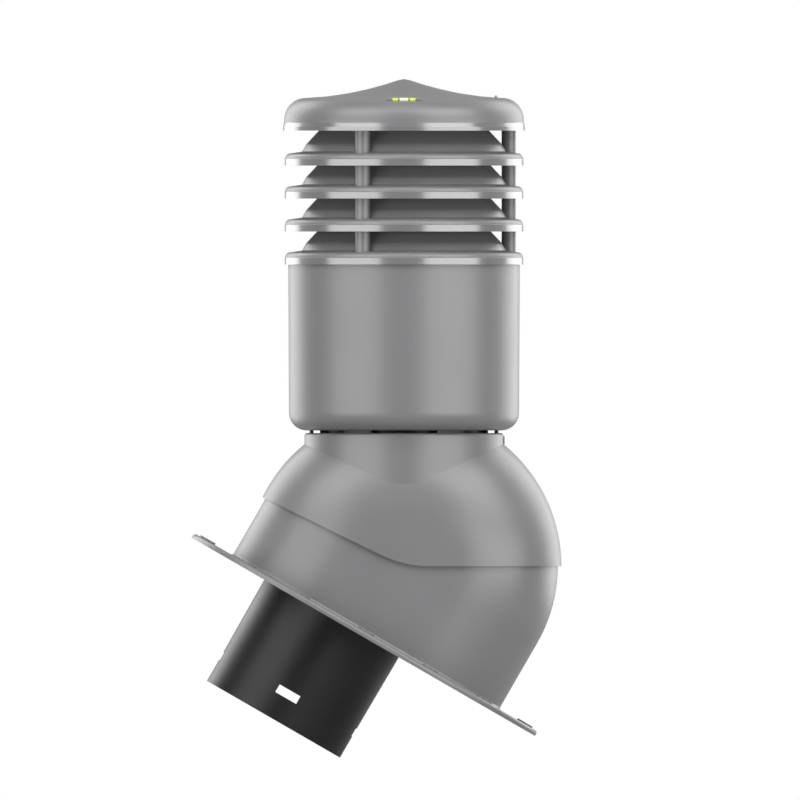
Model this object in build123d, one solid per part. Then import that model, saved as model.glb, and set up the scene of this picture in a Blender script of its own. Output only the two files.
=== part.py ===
from build123d import *
from math import asin, atan2, cos, degrees, radians, sin, sqrt, tan
import os

# Roof ventilation chimney on a tilting dome base, in millimetres.
# +Z is up along the chimney, +X points down the roof slope and Y lies level along the roof.
# The origin is where the chimney's axis meets the underside of the roof flange.

# Roof and tilt
ROOF_PITCH = 30.0
AXIS_TO_ROOF = 79.5          # tilt axis to flange underside, square to the roof
TILT_RANGE = 25.0            # from the modelled pitch towards a flatter roof

# Clearances
TILT_GAP = 0.7               # between the two shells that turn on each other
DUCT_TILT_GAP = 0.6          # between the bell and the bowl of the inner duct
SLIP_FIT = 0.3               # pieces that are only slid together
LEDGE_CLEARANCE = 1.4        # collar ledge above the base's round back
WINDOW_CLEARANCE = 2.6       # each side of the neck in the base's window
WINDOW_MARGIN = 2.0          # degrees past the neck at both ends of its swing

# Ducts: the duct's diameter sets every radius, each as a step outwards from the one before
DUCT_D = 150.0
DUCT_WALL = 3.0
JOINT_ROOM = 22.5            # from the duct to the base's straight sides

# Roof base: an obround box with a round back, on an obround flange
BASE_HALF_STRAIGHT = 52.5
BASE_WALL = 3.0
FLANGE_THICKNESS = 5.3
FLANGE_MARGIN = 43.4
FLANGE_EDGE_ROUND = 3.0
FLANGE_ROOT_ROUND = 2.5
ROOF_SCREW_D = 6.0
ROOF_SCREW_PAD_D = 17.0
ROOF_SCREW_PAD_RISE = 1.5
ROOF_SCREW_INSET = 14.9      # from the flange's edge to the line of screws
ROOF_SCREW_ANGLES = (50.4, 81.0)
BASE_LEDGE_WIDTH = 10.0
BASE_LEDGE_THICKNESS = 3.0

# Dome shell
DOME_WALL = 2.9
DOME_EDGE_RISE = 26.0        # lower edge, degrees up from level on the up-slope side
DOME_EDGE_BLEND = 106.0
COLLAR_INSET = 0.3           # collar narrower than the base
COLLAR_WALL = 4.2
COLLAR_ROUND = 2.9
COLLAR_PAD = (1.0, 15.0, 8.8)
COLLAR_PAD_DROP = 7.3
COLLAR_PAD_ROUND = 0.8
LEDGE_WIDTH = 4.0
LEDGE_THICKNESS = 2.0

# Duct pieces
DUCT_TOP_RISE = 18.0         # upper duct's end above the casing's top
LOWER_DUCT_LENGTH = 113.4    # below the flange underside
LOWER_DUCT_OFFSET = 35.7     # up-slope of the tilt axis
LOWER_DUCT_DRAFT = 0.5
LOWER_DUCT_STRAIGHT = 20.0   # undrafted end that takes the next duct
BAYONET_COUNT = 4
BAYONET_WIDTH = 23.4
BAYONET_HEIGHT = 8.5
BAYONET_RISE = 28.3          # slot centre above the duct's end
BOWL_CLEARANCE = 1.4         # bowl inside the base
BOWL_WALL = 2.5
BOWL_HALF_STRAIGHT = 30.0
PLATE_THICKNESS = 2.5
PLATE_SCREW_D = 4.0
PLATE_SCREW_LENGTH = 5.2
PLATE_SCREW_HEAD = (7.6, 2.0)    # countersunk, flush with the plate
PLATE_SCREW_ANGLES = (0.0, 60.0)
PLATE_SCREW_CLEARANCE = 0.1
BELL_WALL = 2.5
BELL_LONG_SIDE = 35.0        # degrees below level on the down-slope side
BELL_SHORT_SIDE = 2.0
NECK_WALL = 3.3
NECK_RIB_HEIGHT = 3.3
NECK_RIB_WIDTH = 3.0
NECK_RIB_COUNT = 6
NECK_LEDGE_THICKNESS = 2.5
NECK_LEDGE_RISE = 1.0        # duct's seat above the bell's mouth
NECK_TOP_DROP = 0.4          # below the top of the casing's foot ring
SEAL_SECTION = 1.6
SEAL_HEIGHT = 9.0

# Casing foot: a dark ring that plugs into the collar and holds the casing up
PEG_COUNT = 6
PEG_SPAN = 19.0
PEG_WALL = 3.0
PEG_DEPTH = 5.4              # below the collar's rim
PEG_CLEARANCE = 0.6
DRIP_GAP = 2.5
FOOT_PLATE_THICKNESS = 3.0
FOOT_FLANGE_THICKNESS = 2.5
FOOT_FLANGE_OVERLAP = 2.0

# Outer casing
CASING_LENGTH = 161.9
CASING_OVERHANG = 15.8       # beyond the collar, at the casing's top
CASING_TAPER = 0.7
CASING_WALL = 3.0
CASING_HEEL = 17.5

# Louvre rings
RING_COUNT = 3
RING_PITCH = 32.15
RING_OVERHANG = 3.4          # beyond the casing's top
RING_BAND_STEP = 0.4
RING_HEIGHT = 13.5           # band's lower edge to the crease at the cone's foot
RING_SHOULDER = 5.0
RING_SHOULDER_WIDTH = 16.9   # ring's rim to the crease
RING_SHOULDER_RISE = 2.3     # crease above the shoulder's outer end
RING_LAND = 0.05             # upright left between the band's step and the shoulder
RING_WALL = 2.4
CONE_FOOT_ROUND = 0.8
CONE_KNEE = (3.9, 7.1)
CONE_RUN = 16.6
CONE_ANGLE = 46.7
CONE_KNEE_ROUND = 10.0
SKIRT_LENGTH = 10.0
SKIRT_WALL = 2.0

# Posts and tie rods
POST_COUNT = 3
POST_D = 14.1
POST_INSET = 13.5            # post centres inside the ring's rim
POST_START_ANGLE = 7.0
POST_STEP = 4.3              # post top below the crease of the ring above
SOCKET_WALL = 1.9
SOCKET_DEPTH = 6.8
SOCKET_CLEARANCE = 0.2
ROD_D = 5.0
ROD_CLEARANCE = 0.25
ROD_BELOW_NUT = 3.0
ROD_IN_CAP = 14.0
NUT_ACROSS_FLATS = 8.0
NUT_HEIGHT = 4.0
NUT_CLEARANCE = 0.05

# Cap: the roof falls from a blunt point, and falls further towards the front and back
CAP_LIFT = 34.0              # cap rim above the band edge of the upper ring
CAP_OVERHANG = 0.6           # beyond the rings
CAP_FLARE = 1.0
CAP_BAND = 7.6
CAP_WALL = 3.2
CAP_SHOULDER = 21.5
CAP_SHOULDER_BASE = 10.5
CAP_HEIGHT = 50.3
ROOF_SLOPE = 0.36
ROOF_EASE = 0.192            # share of that slope lost on the way out to the rim
ROOF_POINT_BLUNTNESS = 3.0
ROOF_DIP = 4.8               # front and back lower than the sides, at the rim
BLANK_SPARE = 5.0            # left above the roof's point and cut away with the rest
ROOF_GRID = 8
ROOF_GRID_CROWDING = 1.6
CAP_POST_TOP = 9.2

# Spirit levels on the cap
LEVEL_BASE = (34.4, 8.0)
LEVEL_TOP = (29.0, 6.0)
LEVEL_HEIGHT = 5.05
LEVEL_INSET = 27.3           # level centres inside the cap's side
FRONT_LEVEL_SINK = 1.44      # into the roof
SIDE_LEVEL_SINK = 1.82
VIAL_LENGTH = 24.1
VIAL_D = 3.6
VIAL_FLOOR = 0.4
LEVEL_CLEARANCE = 0.15

# Places worked out from the sizes above
FAR = 600.0                  # beyond every face, for cuts with no end
OVERCUT = 1.0                # how far a cut or a join runs past its face
axis_z = AXIS_TO_ROOF / cos(radians(ROOF_PITCH))
duct_r = DUCT_D / 2
duct_inner_r = duct_r - DUCT_WALL
base_r = duct_r + JOINT_ROOM
base_reach = BASE_HALF_STRAIGHT + base_r
flange_r = base_r + FLANGE_MARGIN
flange_top = -AXIS_TO_ROOF + FLANGE_THICKNESS
dome_inner_r = base_r + TILT_GAP
collar_r = base_r - COLLAR_INSET
collar_inner_r = collar_r - COLLAR_WALL
ledge_inner_r = collar_inner_r - LEDGE_WIDTH
ledge_z = sqrt((base_reach + LEDGE_CLEARANCE) ** 2 - ledge_inner_r ** 2)
collar_z = ledge_z + LEDGE_THICKNESS + PEG_DEPTH
peg_outer_r = collar_inner_r - PEG_CLEARANCE
neck_inner_r = duct_r + SLIP_FIT
neck_outer_r = neck_inner_r + NECK_WALL
neck_rib_r = neck_outer_r + NECK_RIB_HEIGHT
bowl_outer_r = base_r - BASE_WALL - BOWL_CLEARANCE
bowl_inner_r = bowl_outer_r - BOWL_WALL
bell_outer_r = bowl_inner_r - DUCT_TILT_GAP
bell_inner_r = bell_outer_r - BELL_WALL
casing_r = collar_r + CASING_OVERHANG
ring_r = casing_r + RING_OVERHANG
cone_foot_r = ring_r - RING_SHOULDER_WIDTH
post_circle_r = ring_r - POST_INSET
shoulder_lean = atan2(RING_SHOULDER_RISE, RING_SHOULDER_WIDTH)
shoulder_upright = RING_SHOULDER * tan((radians(90) - shoulder_lean) / 2) + RING_LAND
band_top = -RING_SHOULDER_RISE - shoulder_upright - RING_BAND_STEP
cap_r = ring_r + CAP_OVERHANG
level_circle_r = cap_r - LEVEL_INSET
casing_z = collar_z + DRIP_GAP
casing_top_z = casing_z + CASING_LENGTH
foot_flange_z = casing_z + FOOT_PLATE_THICKNESS
foot_top_z = foot_flange_z + FOOT_FLANGE_THICKNESS
neck_top_z = foot_top_z - NECK_TOP_DROP
seal_z = neck_top_z - SEAL_HEIGHT
cap_z = casing_top_z + RING_COUNT * RING_PITCH + CAP_LIFT
rod_hole_d = ROD_D + 2 * ROD_CLEARANCE
bell_mouth_z = sqrt((BOWL_HALF_STRAIGHT + bell_inner_r) ** 2 - neck_inner_r ** 2)
duct_foot_z = bell_mouth_z + NECK_LEDGE_THICKNESS + NECK_LEDGE_RISE
duct_top_z = casing_top_z + RING_HEIGHT + DUCT_TOP_RISE
vial_rise = VIAL_D / 2 + VIAL_FLOOR

# Places of the two halves: both are drawn about the tilt axis, with Y along it
on_roof = Location((0, 0, axis_z), (0, ROOF_PITCH, 0))
on_axis = Pos(0, 0, axis_z)
on_stack = Pos(0, 0, cap_z)


def drum(half_straight, radius):
    """Round-edged drum that turns about Y: the form of both shells and of the duct joint."""
    reach = half_straight + radius
    edge = Line((0, -radius), (half_straight, -radius))
    edge += ThreePointArc((half_straight, -radius), (reach, 0), (half_straight, radius))
    edge += Polyline((half_straight, radius), (0, radius), (0, -radius))
    return revolve(make_face(edge), Axis.Y)


def obround(half_straight, radius, bottom, top):
    outline = SlotCenterToCenter(2 * half_straight, 2 * radius)
    return extrude(Pos(0, 0, bottom) * outline, top - bottom)


def tube(outer, inner, bottom, top):
    ring = Circle(outer) - Circle(inner)
    return extrude(Pos(0, 0, bottom) * ring, top - bottom)


def rod(radius, bottom, top):
    return extrude(Pos(0, 0, bottom) * Circle(radius), top - bottom)


def turned(outline):
    """Revolves a closed outline of (radius, height) about Z."""
    return revolve(Plane.XZ * make_face(outline), Axis.Z)


def above(level):
    return Pos(0, 0, level + FAR / 2) * Box(FAR, FAR, FAR)


def below(level):
    return Pos(0, 0, level - FAR / 2) * Box(FAR, FAR, FAR)


def wedge(start, end, depth):
    """Sector of the XZ plane between two angles from +X, as deep along Y as asked."""
    steps = 4
    angles = [start + (end - start) * i / steps for i in range(steps + 1)]
    rim = [(FAR * cos(radians(a)), FAR * sin(radians(a))) for a in angles]
    sector = make_face(Polyline((0, 0), *rim, (0, 0)))
    return extrude(Plane.XZ * sector, depth / 2, both=True)


def roof_screw_places():
    """Flange screw places along the obround: both ends, the middles and four each side."""
    line_r = flange_r - ROOF_SCREW_INSET
    places = [(side * (BASE_HALF_STRAIGHT + line_r), 0) for side in (-1, 1)]
    places += [(0, side * line_r) for side in (-1, 1)]
    for angle in ROOF_SCREW_ANGLES:
        across = line_r * sin(radians(angle))
        along = BASE_HALF_STRAIGHT + line_r * cos(radians(angle))
        places += [(sx * along, sy * across) for sx in (-1, 1) for sy in (-1, 1)]
    return places


def plate_screw_places():
    line_r = base_r - BASE_WALL - BASE_LEDGE_WIDTH / 2
    places = []
    for angle in PLATE_SCREW_ANGLES:
        across = line_r * sin(radians(angle))
        along = BASE_HALF_STRAIGHT + line_r * cos(radians(angle))
        sides = (-1, 1) if angle else (1,)
        places += [(sx * along, sy * across) for sx in (-1, 1) for sy in sides]
    return places


def post_places():
    return [Rot(0, 0, POST_START_ANGLE + 360 * i / POST_COUNT) * Pos(post_circle_r, 0, 0)
            for i in range(POST_COUNT)]


def roof_base():
    inner_r = base_r - BASE_WALL
    plate_top = -AXIS_TO_ROOF + PLATE_THICKNESS
    pad_top = flange_top + ROOF_SCREW_PAD_RISE
    box = drum(BASE_HALF_STRAIGHT, base_r) & above(0)
    box += obround(BASE_HALF_STRAIGHT, base_r, -AXIS_TO_ROOF, 0)
    flange = obround(BASE_HALF_STRAIGHT, flange_r, -AXIS_TO_ROOF, flange_top)
    flange = fillet(flange.edges().group_by(Axis.Z)[-1], FLANGE_EDGE_ROUND)
    outer = box + flange
    root = new_edges(box, flange, combined=outer)
    outer = fillet(root, FLANGE_ROOT_ROUND)
    inner = drum(BASE_HALF_STRAIGHT, inner_r) & above(0)
    inner += obround(BASE_HALF_STRAIGHT, inner_r, -AXIS_TO_ROOF - OVERCUT, 0)
    shell = outer - inner
    ledge_root_r = inner_r + BASE_WALL / 2
    ledge = obround(BASE_HALF_STRAIGHT, ledge_root_r, plate_top, plate_top + BASE_LEDGE_THICKNESS)
    ledge -= obround(BASE_HALF_STRAIGHT, inner_r - BASE_LEDGE_WIDTH, plate_top - OVERCUT, 0)
    shell += ledge
    # The neck of the inner duct swings through a window in the round back
    neck_half_angle = degrees(asin(neck_rib_r / (BASE_HALF_STRAIGHT + inner_r))) + WINDOW_MARGIN
    neck_angle = 90 + ROOF_PITCH
    shell -= wedge(neck_angle - TILT_RANGE - neck_half_angle, neck_angle + neck_half_angle,
                   2 * (neck_rib_r + WINDOW_CLEARANCE))
    for x, y in roof_screw_places():
        shell += Pos(x, y, 0) * rod(ROOF_SCREW_PAD_D / 2, flange_top - OVERCUT, pad_top)
    for x, y in roof_screw_places():
        shell -= Pos(x, y, 0) * rod(ROOF_SCREW_D / 2, -AXIS_TO_ROOF - OVERCUT, pad_top + OVERCUT)
    for x, y in plate_screw_places():
        shell -= Pos(x, y, 0) * rod(PLATE_SCREW_D / 2 + PLATE_SCREW_CLEARANCE, -AXIS_TO_ROOF - OVERCUT, 0)
    return shell


def drafted(radius, height):
    """Round bar that stands on height 0, straight at first and then widening by the draft."""
    drafted_height = height - LOWER_DUCT_STRAIGHT
    top_r = radius + tan(radians(LOWER_DUCT_DRAFT)) * drafted_height
    outline = Polyline((0, 0), (radius, 0), (radius, LOWER_DUCT_STRAIGHT), (top_r, height), (0, height), (0, 0))
    return turned(outline)


def lower_duct():
    """Bowl, closing plate and drafted spigot of the lower duct, moulded in one."""
    plate_z = -AXIS_TO_ROOF + PLATE_THICKNESS
    end_z = -AXIS_TO_ROOF - LOWER_DUCT_LENGTH
    top_z = -AXIS_TO_ROOF / 2
    at_spigot = Pos(-LOWER_DUCT_OFFSET, 0, end_z)
    spigot = drafted(duct_r, top_z - end_z)
    bore = drafted(duct_inner_r, top_z - end_z)
    band = below(0) & above(-AXIS_TO_ROOF)
    body = (drum(BOWL_HALF_STRAIGHT, bowl_outer_r) & band) + at_spigot * spigot
    body += obround(BASE_HALF_STRAIGHT, base_r - BASE_WALL - SLIP_FIT, -AXIS_TO_ROOF, plate_z)
    body -= drum(BOWL_HALF_STRAIGHT, bowl_inner_r) & above(plate_z)
    body -= at_spigot * bore
    slot = Box(2 * FAR, BAYONET_WIDTH, BAYONET_HEIGHT)
    for i in range(BAYONET_COUNT // 2):
        body -= at_spigot * Pos(0, 0, BAYONET_RISE) * Rot(0, 0, 360 * i / BAYONET_COUNT) * slot
    for x, y in plate_screw_places():
        body -= Pos(x, y, -AXIS_TO_ROOF) * screw_form(PLATE_SCREW_CLEARANCE)
    return body


def screw_form(clearance):
    """Countersunk screw, head down on height 0, or with a clearance the hole that takes it."""
    head_d, head_h = PLATE_SCREW_HEAD
    shank_r = PLATE_SCREW_D / 2 + clearance
    head_r = head_d / 2 + clearance
    outline = Polyline((0, 0), (head_r, 0), (shank_r, head_h), (shank_r, PLATE_SCREW_LENGTH),
                       (0, PLATE_SCREW_LENGTH), (0, 0))
    return turned(outline)


def plate_screws():
    """Screws that hold the lower duct's plate under the base's ledge."""
    return Compound(children=[Pos(x, y, -AXIS_TO_ROOF) * screw_form(0) for x, y in plate_screw_places()])


def dome_shell():
    """Round shell with the collar and the ledge inside it."""
    collar_foot = dome_inner_r / 2
    body = drum(BASE_HALF_STRAIGHT, dome_inner_r + DOME_WALL)
    collar = rod(collar_r, collar_foot, collar_z)
    collar = fillet(collar.edges().sort_by(Axis.Z)[-1], COLLAR_ROUND)
    body += collar
    pad_out, pad_wide, pad_high = COLLAR_PAD
    pad_depth = COLLAR_WALL / 2 + pad_out
    pad = Box(2 * pad_depth, pad_wide, pad_high)
    body += Pos(collar_r - COLLAR_WALL / 2, 0, collar_z - COLLAR_PAD_DROP) * fillet(pad.edges(), COLLAR_PAD_ROUND)
    body -= drum(BASE_HALF_STRAIGHT, dome_inner_r)
    body -= rod(collar_inner_r, collar_foot, FAR)
    body += tube(collar_inner_r + COLLAR_WALL / 2, ledge_inner_r, ledge_z, ledge_z + LEDGE_THICKNESS)
    # Lower edge: level down-slope, rising up-slope, with a long bend between
    rise = tan(radians(DOME_EDGE_RISE)) * FAR
    edge = FilletPolyline((FAR, 0), (0, 0), (-FAR, rise), radius=DOME_EDGE_BLEND)
    edge += Polyline((-FAR, rise), (-FAR, -FAR), (FAR, -FAR), (FAR, 0))
    return body - extrude(Plane.XZ * make_face(edge), FAR, both=True)


def duct_bell():
    """Moving half of the inner duct joint, with a ribbed neck that holds the upper duct."""
    neck_foot = bell_inner_r / 2
    body = drum(BOWL_HALF_STRAIGHT, bell_outer_r) + rod(neck_outer_r, neck_foot, neck_top_z)
    for i in range(NECK_RIB_COUNT):
        rib = Pos(neck_outer_r, 0, 0) * Box(2 * NECK_RIB_HEIGHT, NECK_RIB_WIDTH, neck_top_z - neck_foot,
                                            align=(Align.CENTER, Align.CENTER, Align.MIN))
        body += Rot(0, 0, 360 * i / NECK_RIB_COUNT) * Pos(0, 0, neck_foot) * rib
    body -= drum(BOWL_HALF_STRAIGHT, bell_inner_r)
    body -= rod(neck_inner_r, neck_foot, FAR)
    body += tube(neck_inner_r + NECK_WALL / 2, duct_inner_r, duct_foot_z - NECK_LEDGE_THICKNESS, duct_foot_z)
    body -= tube(neck_inner_r + SEAL_SECTION, neck_inner_r - OVERCUT, seal_z, seal_z + 2 * SEAL_SECTION)
    return body - wedge(180 + BELL_SHORT_SIDE, 360 - BELL_LONG_SIDE, FAR)


def duct_seal():
    return tube(neck_inner_r + SEAL_SECTION, duct_r, seal_z, seal_z + 2 * SEAL_SECTION)


def upper_duct():
    return tube(duct_r, duct_inner_r, duct_foot_z, duct_top_z)


def casing_foot_ring():
    hole_r = neck_rib_r + SLIP_FIT
    body = tube(peg_outer_r, hole_r, casing_z, foot_flange_z)
    body += tube(peg_outer_r + SLIP_FIT + FOOT_FLANGE_OVERLAP, hole_r, foot_flange_z, foot_top_z)
    crown = tube(peg_outer_r, peg_outer_r - PEG_WALL, ledge_z + LEDGE_THICKNESS, casing_z)
    for i in range(PEG_COUNT):
        middle = 360 * i / PEG_COUNT
        sector = Rot(90, 0, 0) * wedge(middle - PEG_SPAN / 2, middle + PEG_SPAN / 2, FAR)
        body += crown & sector
    return body


def outer_casing():
    bottom_r = casing_r - CASING_TAPER
    opening_r = peg_outer_r + SLIP_FIT
    heel_in = CASING_HEEL - CASING_WALL
    bend = sin(radians(45))
    outline = Polyline((casing_r, casing_top_z), (bottom_r, casing_z + CASING_HEEL))
    outline += ThreePointArc(
        (bottom_r, casing_z + CASING_HEEL),
        (bottom_r - CASING_HEEL * (1 - bend), casing_z + CASING_HEEL * (1 - bend)),
        (bottom_r - CASING_HEEL, casing_z))
    outline += Polyline((bottom_r - CASING_HEEL, casing_z), (opening_r, casing_z),
                        (opening_r, casing_z + CASING_WALL), (bottom_r - CASING_HEEL, casing_z + CASING_WALL))
    outline += ThreePointArc(
        (bottom_r - CASING_HEEL, casing_z + CASING_WALL),
        (bottom_r - CASING_WALL - heel_in * (1 - bend), casing_z + CASING_WALL + heel_in * (1 - bend)),
        (bottom_r - CASING_WALL, casing_z + CASING_HEEL))
    outline += Polyline((bottom_r - CASING_WALL, casing_z + CASING_HEEL), (casing_r - CASING_WALL, casing_top_z),
                        (casing_r, casing_top_z))
    return turned(outline)


def insulation_sleeve():
    outer_r = casing_r - CASING_TAPER - CASING_WALL - SLIP_FIT
    top_z = casing_top_z - SKIRT_LENGTH - SLIP_FIT
    sleeve = tube(outer_r, duct_r + SLIP_FIT, foot_top_z, top_z)
    return fillet(sleeve.edges().group_by(Axis.Z)[0].sort_by(SortBy.RADIUS)[-1], CASING_HEEL - CASING_WALL)


def moved_inwards(points, wall):
    """Corners of an open outline, moved to its left by a wall that stays even round each corner."""
    runs = [(Vector(*b) - Vector(*a)).normalized() for a, b in zip(points, points[1:])]
    sides = [Vector(-run.Y, run.X) for run in runs]
    pairs = zip(sides[:1] + sides, sides + sides[-1:])
    steps = [(before + after) * (wall / (1 + before.dot(after))) for before, after in pairs]
    return [Vector(*point) + step for point, step in zip(points, steps)]


def ring_shell():
    """Band, rounded shoulder and rising cone of one louvre ring, with its crease at height 0."""
    knee_in, knee_up = CONE_KNEE
    knee_r = cone_foot_r - knee_in
    cone_top = (knee_r - CONE_RUN, knee_up + CONE_RUN * tan(radians(CONE_ANGLE)))
    rim_r = ring_r - RING_BAND_STEP
    outer = [(rim_r, band_top + RING_BAND_STEP), (rim_r, -RING_SHOULDER_RISE), (cone_foot_r, 0),
             (knee_r, knee_up), cone_top]
    inner = moved_inwards([(ring_r, -RING_HEIGHT), *outer[1:]], RING_WALL)
    band = Polyline((ring_r, -RING_HEIGHT), (ring_r, band_top), outer[0])
    top = FilletPolyline(*outer, radius=[RING_SHOULDER, CONE_FOOT_ROUND, CONE_KNEE_ROUND])
    under = FilletPolyline(*reversed(inner), radius=[CONE_KNEE_ROUND, CONE_FOOT_ROUND, RING_SHOULDER - RING_WALL])
    return turned(band + top + Line(outer[-1], inner[-1]) + under + Line(inner[0], (ring_r, -RING_HEIGHT)))


def louvre_ring(post_top, socket_top):
    """Ring shell with hollow posts on its shoulder and bosses under it, bored for the tie rods."""
    body = ring_shell()
    boss_bottom = -RING_HEIGHT + RING_WALL
    post_foot = -RING_WALL - RING_SHOULDER_RISE
    for place in post_places():
        body += place * rod(POST_D / 2 + SOCKET_CLEARANCE + SOCKET_WALL, boss_bottom, post_foot + OVERCUT)
        body += place * rod(POST_D / 2, post_foot, post_top)
    for place in post_places():
        body -= place * rod(POST_D / 2 + SOCKET_CLEARANCE, boss_bottom - OVERCUT, socket_top)
        body -= place * rod(rod_hole_d / 2, boss_bottom - OVERCUT, post_top + OVERCUT)
    return body


def casing_top_ring():
    """Lowest louvre ring: solid bosses for the tie rods' nuts and a skirt inside the casing."""
    body = louvre_ring(RING_PITCH - POST_STEP, -RING_HEIGHT)
    skirt_r = casing_r - CASING_WALL - SLIP_FIT
    body += tube(skirt_r, skirt_r - SKIRT_WALL, -RING_HEIGHT - SKIRT_LENGTH, -RING_HEIGHT)
    body += tube(ring_r, skirt_r - SKIRT_WALL, -RING_HEIGHT, -RING_HEIGHT + SKIRT_WALL)
    return body


def tie_rods():
    bottom = casing_top_z + RING_WALL - NUT_HEIGHT - ROD_BELOW_NUT
    top = cap_z + CAP_POST_TOP + ROD_IN_CAP
    return Compound(children=[place * rod(ROD_D / 2, bottom, top) for place in post_places()])


def tie_rod_nuts():
    nut = extrude(RegularPolygon(NUT_ACROSS_FLATS / 2, 6, major_radius=False), NUT_HEIGHT)
    nut -= rod(ROD_D / 2 + NUT_CLEARANCE, -OVERCUT, NUT_HEIGHT + OVERCUT)
    nut = Pos(0, 0, casing_top_z + RING_WALL - NUT_HEIGHT) * Rot(0, 0, 30) * nut
    return Compound(children=[place * nut for place in post_places()])


def roof_height(x, y):
    """Height of the cap's roof above its rim."""
    distance = sqrt(x * x + y * y + ROOF_POINT_BLUNTNESS ** 2) - ROOF_POINT_BLUNTNESS
    fall = ROOF_SLOPE * distance - ROOF_EASE * (x * x + y * y) / cap_r
    return CAP_HEIGHT - fall - ROOF_DIP * (y / cap_r) ** 2


front_level = Pos(0, -level_circle_r, roof_height(0, -level_circle_r) - FRONT_LEVEL_SINK)
side_level = Pos(level_circle_r, 0, roof_height(level_circle_r, 0) - SIDE_LEVEL_SINK) * Rot(0, 0, 90)


def over_roof(drop):
    """Everything above the cap's roof, lowered by a drop."""
    crowded = [abs(i / ROOF_GRID) ** ROOF_GRID_CROWDING for i in range(-ROOF_GRID, ROOF_GRID + 1)]
    line = [cap_r * 1.1 * (v if i >= ROOF_GRID else -v) for i, v in enumerate(crowded)]
    grid = [[Vector(x, y, roof_height(x, y) - drop) for y in line] for x in line]
    sheet = Face.make_surface_from_array_of_points(grid, tol=0.01)
    return extrude(sheet, amount=CAP_HEIGHT, dir=(0, 0, 1))


def cap_blank(inset, flare):
    """Turned form of the cap under its roof: flared rim, upright band and round shoulder."""
    side_r = cap_r - inset
    round_r = CAP_SHOULDER - inset
    centre_r = cap_r - CAP_SHOULDER
    bend = round_r * sin(radians(45))
    foot = -OVERCUT if inset else 0
    outline = Polyline((0, foot), (side_r + flare, foot), (side_r + flare, CAP_BAND / 2),
                       (side_r, CAP_BAND), (side_r, CAP_SHOULDER_BASE))
    outline += ThreePointArc((side_r, CAP_SHOULDER_BASE), (centre_r + bend, CAP_SHOULDER_BASE + bend),
                             (centre_r, CAP_SHOULDER_BASE + round_r))
    outline += Polyline((centre_r, CAP_SHOULDER_BASE + round_r), (0, CAP_HEIGHT + BLANK_SPARE), (0, foot))
    return turned(outline)


def hood_cap():
    inside = cap_blank(CAP_WALL, 0) - over_roof(CAP_WALL)
    body = cap_blank(0, CAP_FLARE) - inside
    socket_foot = CAP_POST_TOP - SOCKET_DEPTH
    for place in post_places():
        boss = place * rod(POST_D / 2 + SOCKET_CLEARANCE + SOCKET_WALL, socket_foot, CAP_HEIGHT)
        body += boss & inside
    body -= over_roof(0)
    for place in post_places():
        body -= place * rod(POST_D / 2 + SOCKET_CLEARANCE, 0, CAP_POST_TOP)
        body -= place * rod(ROD_D / 2 + NUT_CLEARANCE, 0, CAP_POST_TOP + ROD_IN_CAP + OVERCUT)
    length, width = LEVEL_BASE
    seat = Box(length + 2 * LEVEL_CLEARANCE, width + 2 * LEVEL_CLEARANCE, LEVEL_HEIGHT,
               align=(Align.CENTER, Align.CENTER, Align.MIN))
    for place in (front_level, side_level):
        body -= place * seat
    return body


def level_block():
    """Clear block of a spirit level, with the groove under it that takes the vial."""
    foot = Rectangle(*LEVEL_BASE)
    crown = Pos(0, 0, LEVEL_HEIGHT) * Rectangle(*LEVEL_TOP)
    straight = LEVEL_HEIGHT / 3
    body = extrude(foot, straight)
    body += loft([Pos(0, 0, straight) * foot, crown])
    groove_r = VIAL_D / 2 + LEVEL_CLEARANCE
    groove_length = VIAL_LENGTH + 2 * LEVEL_CLEARANCE
    groove = Box(groove_length, 2 * groove_r, vial_rise, align=(Align.CENTER, Align.CENTER, Align.MIN))
    groove += Pos(0, 0, vial_rise) * Rot(0, 90, 0) * Cylinder(groove_r, groove_length)
    return body - groove


def level_vial():
    vial = Rot(0, 90, 0) * Cylinder(VIAL_D / 2, VIAL_LENGTH)
    return Pos(0, 0, vial_rise) * fillet(vial.edges().filter_by(GeomType.CIRCLE), VIAL_D / 3)


upper_post_top = CAP_LIFT - RING_HEIGHT + CAP_POST_TOP
socket_top = -POST_STEP


def ring_place(number):
    """Crease height of a louvre ring, counted up from the casing's own top ring."""
    return Pos(0, 0, casing_top_z + RING_HEIGHT + number * RING_PITCH)


chimney = {
    "hood_cap": on_stack * hood_cap(),
    "front_level_block": on_stack * front_level * level_block(),
    "front_level_vial": on_stack * front_level * level_vial(),
    "side_level_block": on_stack * side_level * level_block(),
    "side_level_vial": on_stack * side_level * level_vial(),
    "louvre_ring_upper": ring_place(3) * louvre_ring(upper_post_top, socket_top),
    "louvre_ring_middle": ring_place(2) * louvre_ring(RING_PITCH - POST_STEP, socket_top),
    "louvre_ring_lower": ring_place(1) * louvre_ring(RING_PITCH - POST_STEP, socket_top),
    "casing_top_ring": ring_place(0) * casing_top_ring(),
    "tie_rods": tie_rods(),
    "tie_rod_nuts": tie_rod_nuts(),
    "outer_casing": outer_casing(),
    "insulation_sleeve": insulation_sleeve(),
    "upper_duct": upper_duct(),
    "duct_seal": duct_seal(),
    "casing_foot_ring": casing_foot_ring(),
    "duct_bell": duct_bell(),
    "dome_shell": dome_shell(),
}
roof_fitting = {
    "roof_base": roof_base(),
    "lower_duct": lower_duct(),
    "plate_screws": plate_screws(),
}

os.makedirs("parts", exist_ok=True)
for name, piece in chimney.items():
    export_step(on_axis * piece, f"parts/{name}.step")
for name, piece in roof_fitting.items():
    export_step(on_roof * piece, f"parts/{name}.step")
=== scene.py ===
import math

import bmesh
import bpy
from mathutils import Matrix, Vector


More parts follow.
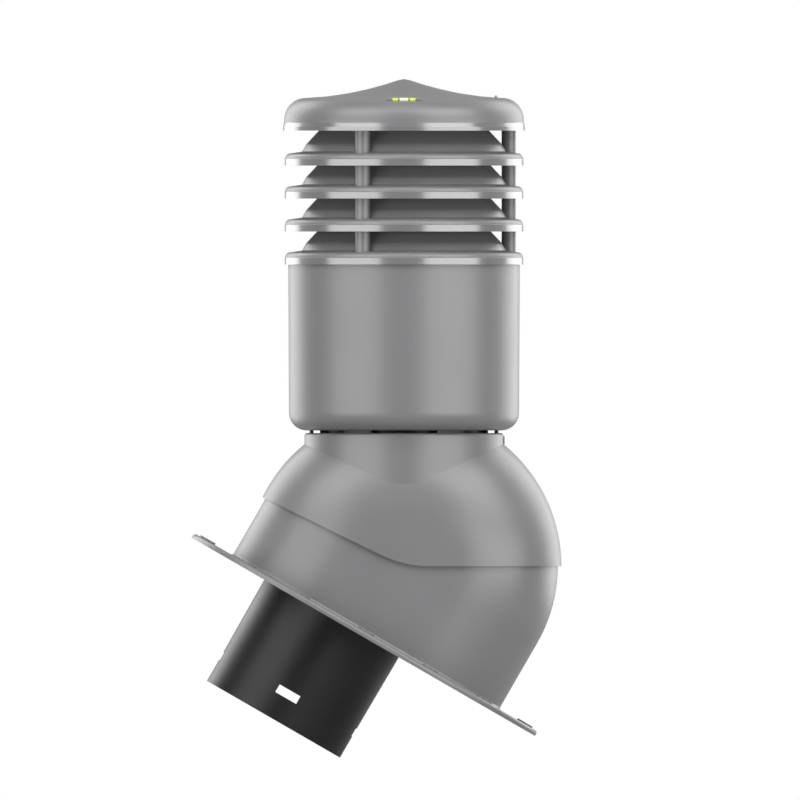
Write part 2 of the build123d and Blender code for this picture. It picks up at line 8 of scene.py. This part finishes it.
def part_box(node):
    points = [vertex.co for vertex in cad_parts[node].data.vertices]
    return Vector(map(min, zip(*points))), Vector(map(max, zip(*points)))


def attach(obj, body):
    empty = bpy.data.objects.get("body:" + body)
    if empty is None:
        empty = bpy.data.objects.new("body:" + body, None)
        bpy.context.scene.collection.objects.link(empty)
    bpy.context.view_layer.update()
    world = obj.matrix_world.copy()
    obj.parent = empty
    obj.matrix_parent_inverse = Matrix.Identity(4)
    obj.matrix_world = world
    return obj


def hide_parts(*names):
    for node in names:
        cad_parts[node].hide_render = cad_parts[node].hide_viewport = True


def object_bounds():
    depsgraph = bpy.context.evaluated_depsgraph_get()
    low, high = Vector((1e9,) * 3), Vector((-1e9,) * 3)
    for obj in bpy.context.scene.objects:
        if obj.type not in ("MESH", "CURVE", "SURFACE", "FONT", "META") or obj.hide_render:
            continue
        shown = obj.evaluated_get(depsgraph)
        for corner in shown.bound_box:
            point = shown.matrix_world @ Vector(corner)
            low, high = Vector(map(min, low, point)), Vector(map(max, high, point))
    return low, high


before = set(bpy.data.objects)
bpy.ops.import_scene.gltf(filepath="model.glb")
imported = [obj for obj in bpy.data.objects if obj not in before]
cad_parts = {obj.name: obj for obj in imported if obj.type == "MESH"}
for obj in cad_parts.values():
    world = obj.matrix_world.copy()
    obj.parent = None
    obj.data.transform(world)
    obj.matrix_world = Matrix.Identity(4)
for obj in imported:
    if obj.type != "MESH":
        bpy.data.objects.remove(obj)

# Looks of the roof ventilation chimney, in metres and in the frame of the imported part.
# +Z is up along the chimney, +X points down the roof slope and the photograph looks along +Y.

MM = 0.001
cad_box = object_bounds()
HEAD = "chimney_head"
BASE = "roof_fitting"

# Camera: the photograph is a side view with no perspective
FRAME_WIDTH = 0.780
FRAME_CENTRE = (-0.0039, 0.2539)
CAMERA_DISTANCE = 3.0

# Colours, linear
GREY = (0.220, 0.221, 0.226)
BLACK = (0.0052, 0.0052, 0.0055)
RUBBER = (0.012, 0.012, 0.012)
FOAM = (0.74, 0.74, 0.71)
ZINC = (0.62, 0.62, 0.60)
FLUID = (0.74, 0.90, 0.045)
FLUID_END = (0.62, 0.42, 0.03)
VIAL_TIP = (0.24, 0.24, 0.23)
BUBBLE = (0.93, 0.95, 0.72)
MARK = (0.02, 0.10, 0.015)
ACRYLIC = (0.80, 0.83, 0.82)
PAINTED_GLOW = 0.3               # painted glow: the levels' fluid and bubble shine brighter than the lamps light them

# Plastic finishes: roughness, depth of the eroded grain and gloss
GREY_FINISH = (0.36, 0.03 * MM, 1.0)
BLACK_FINISH = (0.37, 0.04 * MM, 0.5)
SPECKLE_SCALE = 1500
PIT_SCALE = 2400
FLOW_SCALE = 22

# Polished bands of the rims
BAND_ROUGHNESS = 0.2
BAND_COAT_IOR = 1.8
RING_BAND = 6.4 * MM
RING_BAND_DEPTH = 0.8 * MM   # how far in from the rim the band reaches
CAP_BAND = 7.6 * MM
CAP_BAND_DEPTH = 1.6 * MM

# Levels: how far fluid, bubble and marks stay inside the plain vial, and what shows in them
FLUID_INSET = 0.2 * MM
BUBBLE_INSET = 0.12 * MM
MARK_INSET = 0.03 * MM
MARK_ROOT = 0.2 * MM         # how deep a mark reaches into the fluid
BUBBLE_RISE = 0.06 * MM
BUBBLE_LENGTH = 10.4 * MM
MARK_SPACING = 9.9 * MM
MARK_WIDTH = 1.0 * MM

# Sizes read from the frame
cap_low, cap_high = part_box("hood_cap")
lower_ring_low, lower_ring_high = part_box("louvre_ring_lower")
ring_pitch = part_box("louvre_ring_middle")[0].z - lower_ring_low.z

# Plate screws, in the roof plane's own axes about the tilt axis
ROOF_PITCH = math.radians(30)
AXIS_TO_ROOF = 79.5 * MM
SCREW_LINE = (52.5 * MM, 89.5 * MM)      # half straight and radius of their obround line
SCREW_HEAD = (3.8 * MM, 2.0 * MM)        # radius and height
SCREW_SHANK = (2.0 * MM, 5.2 * MM)       # radius and length over all
RECESS = (0.55 * MM, 2.2 * MM, 1.3 * MM)  # half width, reach and depth of its arms
RECESS_TAPER = 0.6                       # size of the recess at its foot
SCREW_ANGLES = (-math.pi / 3, 0, math.pi / 3)

# Studio: lamps stand on a ball round the object, the floor just under its lowest point
STUDIO_MIDDLE = (0, 0, 0.26)
LAMP_DISTANCE = 2.2
# Name, azimuth and elevation from and to in degrees (0 is the camera's side, + is right), radiance
LAMPS = (
    ("key_left_low", (-77, -22), (-13, 13), 2.5),
    ("key_right_low", (19, 76), (-13, 13), 2.7),
    ("key_left_high", (-74, -22), (22, 58), 2.75),
    ("key_right_high", (19, 74), (22, 58), 2.95),
    ("rim_left", (-156, -120), (-20, 44), 2.3),
    ("rim_right", (116, 156), (-20, 44), 2.2),
    ("top", (-28, 28), (44, 82), 1.2),
)
WORLD_LIGHT = 0.06           # what the walls of the room give by themselves
WORLD_MIRRORED = 0.4         # what gloss sees of the pale backdrop behind the object
FLOOR_HALF = 0.9
FLOOR_GAP = 0.5 * MM
FLOOR_TONE = 0.3
FLOOR_SEEN = 0.85            # glow for the camera and through glass
FLOOR_MIRRORED = 0.25        # glow for gloss


def new_material(name):
    material = bpy.data.materials.new(name)
    material.use_nodes = True
    tree = material.node_tree
    return material, tree, tree.nodes["Principled BSDF"]


def add(tree, kind, inputs=None, **settings):
    """New node with its settings; an input may be a number, a colour or another node's output."""
    made = tree.nodes.new(kind)
    for name, value in settings.items():
        setattr(made, name, value)
    for name, value in (inputs or {}).items():
        if isinstance(value, bpy.types.NodeSocket):
            tree.links.new(value, made.inputs[name])
        else:
            made.inputs[name].default_value = value
    return made


def maths(tree, operation, first, second=0.0):
    return add(tree, "ShaderNodeMath", {0: first, 1: second}, operation=operation).outputs[0]


def mix_colour(tree, share, first, second):
    made = add(tree, "ShaderNodeMix", {"Factor": share}, data_type="RGBA")
    for socket, value in (("A_Color", first), ("B_Color", second)):
        target = next(i for i in made.inputs if i.identifier == socket)
        if isinstance(value, bpy.types.NodeSocket):
            tree.links.new(value, target)
        else:
            target.default_value = (*value, 1)
    return next(o for o in made.outputs if o.identifier == "Result_Color")


def noise(tree, place, scale, detail=2.0):
    inputs = {"Vector": place, "Scale": scale, "Detail": detail, "Roughness": 0.6}
    return add(tree, "ShaderNodeTexNoise", inputs).outputs["Fac"]


def spread(tree, value, low, high, from_low=0.3, from_high=0.7):
    """Maps a value's range, by default that of a noise, to another."""
    inputs = {"Value": value, "From Min": from_low, "From Max": from_high, "To Min": low, "To Max": high}
    return add(tree, "ShaderNodeMapRange", inputs).outputs[0]


def shade(colour, factor):
    return tuple(c * factor for c in colour)


def object_place(tree):
    return add(tree, "ShaderNodeTexCoord").outputs["Object"]


def band_mask(tree, place, band):
    """1 on the polished band, given as height, start, step between rings (0 for one) and least radius."""
    band_height, start, step, least_radius = band
    parts = add(tree, "ShaderNodeSeparateXYZ", {"Vector": place})
    height = maths(tree, "SUBTRACT", parts.outputs["Z"], start)
    if step:
        height = maths(tree, "FLOORED_MODULO", height, step)
    flat = add(tree, "ShaderNodeCombineXYZ", {"X": parts.outputs["X"], "Y": parts.outputs["Y"]})
    radius = add(tree, "ShaderNodeVectorMath", {0: flat.outputs[0]}, operation="LENGTH").outputs["Value"]
    in_height = maths(tree, "LESS_THAN", height, band_height)
    in_radius = maths(tree, "GREATER_THAN", radius, least_radius)
    return maths(tree, "MULTIPLY", in_height, in_radius)


def moulded_plastic(name, colour, finish, band=None):
    """Satin moulded plastic: eroded grain, faint flow marks, and a polished band where one is asked for."""
    roughness, grain, gloss = finish
    material, tree, shader = new_material(name)
    place = object_place(tree)
    fleck = spread(tree, noise(tree, place, SPECKLE_SCALE, 1), 0, 1, 0.35, 0.65)
    flow = noise(tree, place, FLOW_SCALE, 3)
    cloudy = mix_colour(tree, spread(tree, flow, 0, 1), shade(colour, 0.975), shade(colour, 1.025))
    tree.links.new(mix_colour(tree, fleck, shade(colour, 0.93), cloudy), shader.inputs["Base Color"])
    satin = spread(tree, flow, roughness - 0.02, roughness + 0.03)
    grain_depth = grain
    if band:
        mask = band_mask(tree, place, band)
        keep = maths(tree, "SUBTRACT", 1.0, mask)
        polished = maths(tree, "MULTIPLY", mask, BAND_ROUGHNESS)
        satin = maths(tree, "ADD", maths(tree, "MULTIPLY", satin, keep), polished)
        grain_depth = maths(tree, "MULTIPLY", keep, grain)
        tree.links.new(mask, shader.inputs["Coat Weight"])
        shader.inputs["Coat Roughness"].default_value = BAND_ROUGHNESS
        shader.inputs["Coat IOR"].default_value = BAND_COAT_IOR
    tree.links.new(satin, shader.inputs["Roughness"])
    pits = noise(tree, place, PIT_SCALE, 2)
    bump = add(tree, "ShaderNodeBump", {"Height": pits, "Strength": 1.0, "Distance": grain_depth})
    tree.links.new(bump.outputs[0], shader.inputs["Normal"])
    shader.inputs["Specular IOR Level"].default_value = gloss
    return material


def rubber():
    material, tree, shader = new_material("seal_rubber_look")
    place = object_place(tree)
    dust = noise(tree, place, 160, 4)
    dusty = mix_colour(tree, dust, shade(RUBBER, 0.7), shade(RUBBER, 1.6))
    tree.links.new(dusty, shader.inputs["Base Color"])
    tree.links.new(spread(tree, dust, 0.55, 0.75), shader.inputs["Roughness"])
    return material


def foam():
    """Beaded foam: cells with darker joints between them."""
    material, tree, shader = new_material("foam_look")
    place = object_place(tree)
    cells = add(tree, "ShaderNodeTexVoronoi", {"Vector": place, "Scale": 260})
    edge = spread(tree, cells.outputs["Distance"], 0, 1, 0.25, 0.75)
    tree.links.new(mix_colour(tree, edge, FOAM, shade(FOAM, 0.8)), shader.inputs["Base Color"])
    bump = add(tree, "ShaderNodeBump", {"Height": edge, "Strength": 0.6, "Distance": -0.3 * MM})
    tree.links.new(bump.outputs[0], shader.inputs["Normal"])
    shader.inputs["Roughness"].default_value = 0.8
    return material


def zinc():
    material, tree, shader = new_material("zinc_steel_look")
    place = object_place(tree)
    spangle = noise(tree, place, 500, 3)
    tree.links.new(mix_colour(tree, spangle, shade(ZINC, 0.85), ZINC), shader.inputs["Base Color"])
    tree.links.new(spread(tree, spangle, 0.25, 0.42), shader.inputs["Roughness"])
    shader.inputs["Metallic"].default_value = 1.0
    return material


def acrylic():
    """Clear block: see-through face on, more solid towards its edges, where its pale colour is a painted
    edge highlight.
    """
    material, tree, shader = new_material("clear_acrylic_look")
    place = object_place(tree)
    cloud = noise(tree, place, 300, 2)
    facing = add(tree, "ShaderNodeLayerWeight", {"Blend": 0.35})
    # Painted highlight: at grazing angles the pale colour shows on the edges like a reflection
    painted_highlight_alpha = spread(tree, facing.outputs["Facing"], 0.03, 0.45, 0.3, 0.95)
    tree.links.new(painted_highlight_alpha, shader.inputs["Alpha"])
    tree.links.new(mix_colour(tree, cloud, shade(ACRYLIC, 0.95), ACRYLIC), shader.inputs["Base Color"])
    tree.links.new(spread(tree, cloud, 0.05, 0.12), shader.inputs["Roughness"])
    shader.inputs["Specular IOR Level"].default_value = 0.8
    return material


def vial_fluid(axis, middle, half_length):
    """Yellow-green fluid, turning amber towards the vial's ends, and the grey sealed tips."""
    material, tree, shader = new_material("level_fluid_look_" + axis.lower())
    place = object_place(tree)
    along = add(tree, "ShaderNodeSeparateXYZ", {"Vector": place}).outputs[axis]
    from_middle = maths(tree, "ABSOLUTE", maths(tree, "SUBTRACT", along, middle))
    ends = spread(tree, from_middle, 0, 1, half_length * 0.86, half_length)
    cloud = noise(tree, place, 400, 2)
    body = mix_colour(tree, cloud, shade(FLUID, 0.94), FLUID)
    tips = spread(tree, from_middle, 0, 1, half_length * 0.90, half_length * 0.96)
    fluid = mix_colour(tree, ends, body, FLUID_END)
    tree.links.new(mix_colour(tree, tips, fluid, VIAL_TIP), shader.inputs["Base Color"])
    shader.inputs["Roughness"].default_value = 0.12
    shader.inputs["Coat Weight"].default_value = 0.6
    shader.inputs["Coat Roughness"].default_value = 0.05
    # Painted glow over the fluid's body, fading to none towards the ends
    tree.links.new(mix_colour(tree, ends, FLUID, (0, 0, 0)), shader.inputs["Emission Color"])
    shader.inputs["Emission Strength"].default_value = PAINTED_GLOW
    return material


def plain_variation(name, colour, roughness, glow=0.0):
    material, tree, shader = new_material(name)
    # A glow here is painted light: the piece shines though it is no lamp
    if glow:
        shader.inputs["Emission Color"].default_value = (*colour, 1)
        shader.inputs["Emission Strength"].default_value = glow
    place = object_place(tree)
    cloud = noise(tree, place, 600, 2)
    tree.links.new(mix_colour(tree, cloud, shade(colour, 0.9), colour), shader.inputs["Base Color"])
    tree.links.new(spread(tree, cloud, roughness, roughness + 0.08), shader.inputs["Roughness"])
    return material


def mesh_piece(name, build, material, body, place=None):
    """Mesh made by a function on a bmesh, shaded smooth and riding on a CAD body."""
    mesh = bpy.data.meshes.new(name)
    made = bmesh.new()
    build(made)
    bmesh.ops.recalc_face_normals(made, faces=made.faces)
    if place is not None:
        made.transform(place)
    made.to_mesh(mesh)
    made.free()
    mesh.polygons.foreach_set("use_smooth", [True] * len(mesh.polygons))
    mesh.set_sharp_from_angle(angle=math.radians(35))
    mesh.materials.append(material)
    piece = bpy.data.objects.new(name, mesh)
    bpy.context.scene.collection.objects.link(piece)
    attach(piece, body)
    return piece


def circle(made, radius, height, steps, centre=(0, 0)):
    angles = [2 * math.pi * i / steps for i in range(steps)]
    return [made.verts.new((centre[0] + radius * math.cos(a), centre[1] + radius * math.sin(a), height))
            for a in angles]


def lathe(profile, steps=48):
    """Turned solid from (radius, height) points that start and end on the axis or come back to the first."""
    def build(made):
        rows = []
        for radius, height in profile:
            if radius:
                rows.append(circle(made, radius, height, steps))
            else:
                rows.append([made.verts.new((0, 0, height))])
        for low, high in zip(rows, rows[1:]):
            for i in range(steps):
                j = i + 1
                corners = (low[i % len(low)], low[j % len(low)], high[j % len(high)], high[i % len(high)])
                made.faces.new(list(dict.fromkeys(corners)))
    return build


def rounded_rod(radius, half_length, steps=6):
    """Turned outline of a rod with domed ends."""
    arc = [math.pi / 2 * i / steps for i in range(steps + 1)]
    straight = half_length - radius
    foot = [(radius * math.sin(a), -straight - radius * math.cos(a)) for a in arc]
    head = [(radius * math.cos(a), straight + radius * math.sin(a)) for a in arc]
    foot[0], head[-1] = (0, -half_length), (0, half_length)
    return foot + head


def level_vial(side, along):
    """Fluid, bubble and two marks of one level, in the place of its plain vial."""
    node = side + "_level_vial"
    low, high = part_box(node)
    centre = (low + high) / 2
    axis = "XY".index(along)
    radius, half_length = (high.z - low.z) / 2, (high[axis] - low[axis]) / 2
    lie = Matrix.Rotation(math.pi / 2, 4, "Y") if along == "X" else Matrix.Rotation(-math.pi / 2, 4, "X")
    place = Matrix.Translation(centre) @ lie
    insets = (FLUID_INSET, BUBBLE_INSET, MARK_INSET)
    fluid_radius, bubble_radius, mark_radius = (radius - inset for inset in insets)
    fluid = mesh_piece(side + "_level_fluid", lathe(rounded_rod(fluid_radius, half_length - FLUID_INSET)),
                       vial_fluid(along, centre[axis], half_length), HEAD, place)
    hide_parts(node)
    bubble_place = Matrix.Translation(centre + Vector((0, 0, BUBBLE_RISE))) @ lie
    mesh_piece(side + "_level_bubble", lathe(rounded_rod(bubble_radius, BUBBLE_LENGTH / 2)),
               bubble_look, HEAD, bubble_place)
    for number, step in enumerate((-MARK_SPACING / 2, MARK_SPACING / 2), start=1):
        inner, half_width = fluid_radius - MARK_ROOT, MARK_WIDTH / 2
        corners = [(inner, -half_width), (mark_radius, -half_width),
                   (mark_radius, half_width), (inner, half_width)]
        ring = corners + corners[:1]
        shift = Matrix.Translation((0, 0, step))
        mesh_piece(f"{side}_level_mark_{number}", lathe(ring), mark_look, HEAD, place @ shift)


def cross_screw(made, x, y, steps=32):
    """Countersunk screw with a cross recess, head face on height 0 and shank upwards."""
    half, reach, depth = RECESS

    def skin(low, high):
        for i in range(len(low)):
            j = (i + 1) % len(low)
            made.faces.new((low[i], low[j], high[j], high[i]))

    corners = [(reach, -half), (reach, half), (half, half)]
    quarters = ((1, 0), (0, 1), (-1, 0), (0, -1))
    cross = [(u * c - v * s, u * s + v * c) for c, s in quarters for u, v in corners]
    mouth = [made.verts.new((x + u, y + v, 0)) for u, v in cross]
    foot = [made.verts.new((x + RECESS_TAPER * u, y + RECESS_TAPER * v, depth)) for u, v in cross]
    rim = circle(made, SCREW_HEAD[0], 0, steps, (x, y))
    neck = circle(made, SCREW_SHANK[0], SCREW_HEAD[1], steps, (x, y))
    tip = circle(made, *SCREW_SHANK, steps, (x, y))
    outlines = []
    for loop in (rim, mouth):
        outlines += [made.edges.new((loop[i], loop[(i + 1) % len(loop)])) for i in range(len(loop))]
    bmesh.ops.triangle_fill(made, use_beauty=True, edges=outlines)
    skin(mouth, foot)
    made.faces.new(foot)
    skin(rim, neck)
    skin(neck, tip)
    made.faces.new(tip)


def plate_screws():
    """The six plate screws with the cross recesses that the plain solids leave out."""
    along, radius = SCREW_LINE
    one_end = [(along + radius * math.cos(a), radius * math.sin(a)) for a in SCREW_ANGLES]
    places = [(side * x, y) for side in (-1, 1) for x, y in one_end]

    def build(made):
        for x, y in places:
            cross_screw(made, x, y)

    axis_height = AXIS_TO_ROOF / math.cos(ROOF_PITCH)
    tilt = Matrix.Translation((0, 0, axis_height)) @ Matrix.Rotation(ROOF_PITCH, 4, "Y")
    place = tilt @ Matrix.Translation((0, 0, -AXIS_TO_ROOF))
    piece = mesh_piece("plate_screw_set", build, zinc_look, BASE, place)
    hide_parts("plate_screws")


def dress(node, material):
    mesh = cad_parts[node].data
    mesh.materials.clear()
    mesh.materials.append(material)


cap_band = (CAP_BAND, cap_low.z, 0.0, cap_high.x - CAP_BAND_DEPTH)
first_ring_low = lower_ring_low.z - ring_pitch
ring_band = (RING_BAND, first_ring_low, ring_pitch, lower_ring_high.x - RING_BAND_DEPTH)
grey_satin = moulded_plastic("grey_plastic_look", GREY, GREY_FINISH)
grey_cap = moulded_plastic("grey_cap_look", GREY, GREY_FINISH, cap_band)
grey_rings = moulded_plastic("grey_rings_look", GREY, GREY_FINISH, ring_band)
black_satin = moulded_plastic("black_plastic_look", BLACK, BLACK_FINISH)
# The bubble shines with the same painted glow
bubble_look = plain_variation("level_bubble_look", BUBBLE, 0.1, PAINTED_GLOW)
mark_look = plain_variation("level_mark_look", MARK, 0.35)
zinc_look, foam_look, rubber_look, acrylic_look = zinc(), foam(), rubber(), acrylic()

finishes = {
    "hood_cap": grey_cap,
    "louvre_ring_upper": grey_rings,
    "louvre_ring_middle": grey_rings,
    "louvre_ring_lower": grey_rings,
    "casing_top_ring": grey_rings,
    "outer_casing": grey_satin,
    "dome_shell": grey_satin,
    "roof_base": grey_satin,
    "lower_duct": black_satin,
    "duct_bell": black_satin,
    "casing_foot_ring": black_satin,
    "upper_duct": black_satin,
    "duct_seal": rubber_look,
    "insulation_sleeve": foam_look,
    "tie_rods": zinc_look,
    "tie_rod_nuts": zinc_look,
    "plate_screws": zinc_look,
    "front_level_block": acrylic_look,
    "side_level_block": acrylic_look,
}
for node_name, finish in finishes.items():
    dress(node_name, finish)

level_vial("front", "X")
level_vial("side", "Y")
plate_screws()


def direction(azimuth, elevation):
    """Unit vector towards a lamp, from angles in degrees."""
    a, e = math.radians(azimuth), math.radians(elevation)
    return Vector((math.sin(a) * math.cos(e), -math.cos(a) * math.cos(e), math.sin(e)))


def span(low, high):
    """Width at the lamps' distance of a stretch of angle in degrees."""
    return 2 * LAMP_DISTANCE * math.tan(math.radians(high - low) / 2)


def studio():
    """Soft boxes low and high on either side in front, two behind for the edges, and one overhead."""
    for name, azimuths, elevations, radiance in LAMPS:
        azimuth, elevation = sum(azimuths) / 2, sum(elevations) / 2
        lamp = bpy.data.lights.new(name, "AREA")
        lamp.shape = "RECTANGLE"
        lamp.size = span(*azimuths) * math.cos(math.radians(elevation))
        lamp.size_y = span(*elevations)
        lamp.energy = radiance * math.pi * lamp.size * lamp.size_y
        out = direction(azimuth, elevation)
        holder = bpy.data.objects.new(name, lamp)
        holder.location = Vector(STUDIO_MIDDLE) + out * LAMP_DISTANCE
        holder.rotation_euler = (-out).to_track_quat("-Z", "Y").to_euler()
        holder.visible_camera = False
        bpy.context.scene.collection.objects.link(holder)


def ray_kinds(tree):
    """1 on rays of the camera and through glass, which see plain white, and 1 on those of gloss."""
    path = add(tree, "ShaderNodeLightPath")
    seen = maths(tree, "MAXIMUM", path.outputs["Is Camera Ray"], path.outputs["Is Transmission Ray"])
    return seen, path.outputs["Is Glossy Ray"]


def room():
    """World that is white where it is seen, pale behind the object for gloss, and dim as a light."""
    world = bpy.data.worlds.new("room")
    bpy.context.scene.world = world
    world.use_nodes = True
    tree = world.node_tree
    dim = tree.nodes["Background"]
    dim.inputs["Color"].default_value = (1, 1, 1, 1)
    dim.inputs["Strength"].default_value = WORLD_LIGHT
    white = add(tree, "ShaderNodeBackground", {"Color": (1, 1, 1, 1), "Strength": 1.0})
    seen, mirrored = ray_kinds(tree)
    generated = add(tree, "ShaderNodeTexCoord").outputs["Generated"]
    heading = add(tree, "ShaderNodeSeparateXYZ", {"Vector": generated})
    behind = spread(tree, heading.outputs["Y"], 0.0, WORLD_MIRRORED, -0.1, 0.5)
    share = maths(tree, "MAXIMUM", seen, maths(tree, "MULTIPLY", mirrored, behind))
    mixed = add(tree, "ShaderNodeMixShader", {0: share, 1: dim.outputs[0], 2: white.outputs[0]})
    tree.links.new(mixed.outputs[0], tree.nodes["World Output"].inputs["Surface"])


def floor():
    """Pale floor under the lowest point: white where it is seen, and it still takes the object's shadow."""
    mesh = bpy.data.meshes.new("studio_floor")
    made = bmesh.new()
    bmesh.ops.create_grid(made, x_segments=2, y_segments=2, size=FLOOR_HALF)
    made.transform(Matrix.Translation((0, 0, cad_box[0].z - FLOOR_GAP)))
    made.to_mesh(mesh)
    made.free()
    material, tree, shader = new_material("studio_floor_look")
    shader.inputs["Base Color"].default_value = (FLOOR_TONE, FLOOR_TONE, FLOOR_TONE, 1)
    shader.inputs["Roughness"].default_value = 0.9
    glow = add(tree, "ShaderNodeEmission", {"Color": (1, 1, 1, 1)})
    seen, mirrored = ray_kinds(tree)
    plain = maths(tree, "MULTIPLY", seen, FLOOR_SEEN)
    dimmer = maths(tree, "MULTIPLY", mirrored, FLOOR_MIRRORED)
    tree.links.new(maths(tree, "MAXIMUM", plain, dimmer), glow.inputs["Strength"])
    both = add(tree, "ShaderNodeAddShader", {0: shader.outputs[0], 1: glow.outputs[0]})
    tree.links.new(both.outputs[0], tree.nodes["Material Output"].inputs["Surface"])
    mesh.materials.append(material)
    piece = bpy.data.objects.new("studio_floor", mesh)
    bpy.context.scene.collection.objects.link(piece)


def camera():
    lens = bpy.data.cameras.new("camera")
    lens.type = "ORTHO"
    lens.ortho_scale = FRAME_WIDTH
    lens.clip_end = 20
    eye = bpy.data.objects.new("camera", lens)
    eye.location = (FRAME_CENTRE[0], -CAMERA_DISTANCE, FRAME_CENTRE[1])
    eye.rotation_euler = (math.pi / 2, 0, 0)
    bpy.context.scene.collection.objects.link(eye)
    bpy.context.scene.camera = eye


studio()
room()
floor()
camera()
bpy.context.scene.view_settings.view_transform = "Standard"
